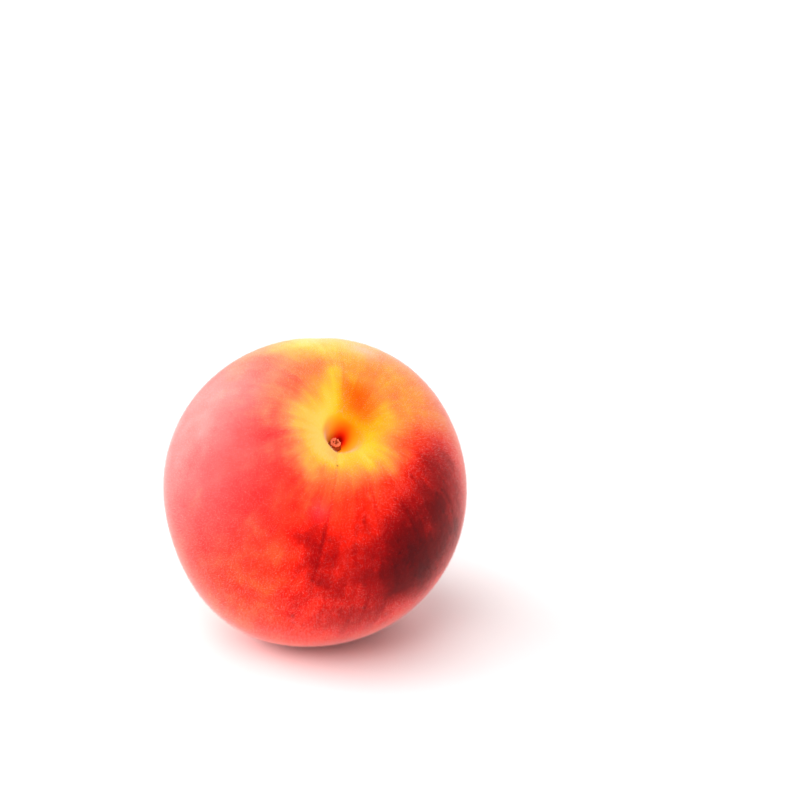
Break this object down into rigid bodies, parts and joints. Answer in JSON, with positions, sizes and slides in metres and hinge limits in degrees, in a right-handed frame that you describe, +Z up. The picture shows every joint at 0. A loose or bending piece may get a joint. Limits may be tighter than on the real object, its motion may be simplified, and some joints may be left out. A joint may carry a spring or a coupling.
{
  "type": "peach",
  "caption": "Whole ripe peach lying on its cheek, with a stem cavity, a suture furrow, a small tip and the stub of its stem",
  "frame": {"origin": "middle of the small flat spot that the fruit rests on", "axes": "+Z up, square to the flat spot. The stem end leans from +Z towards -Y, so -Y is the front, and +X is to the right of someone who looks along +Y"},
  "size_m": [0.0762, 0.0769, 0.0762],
  "materials": {
    "skin": null,
    "stem_wood": "dry olive-brown stem bark with a pale broken rim and a dark pith"
  },
  "bodies": {
    "root": {"fruit": "skin", "stem_stub": "stem_wood"}
  },
  "joints": []
}
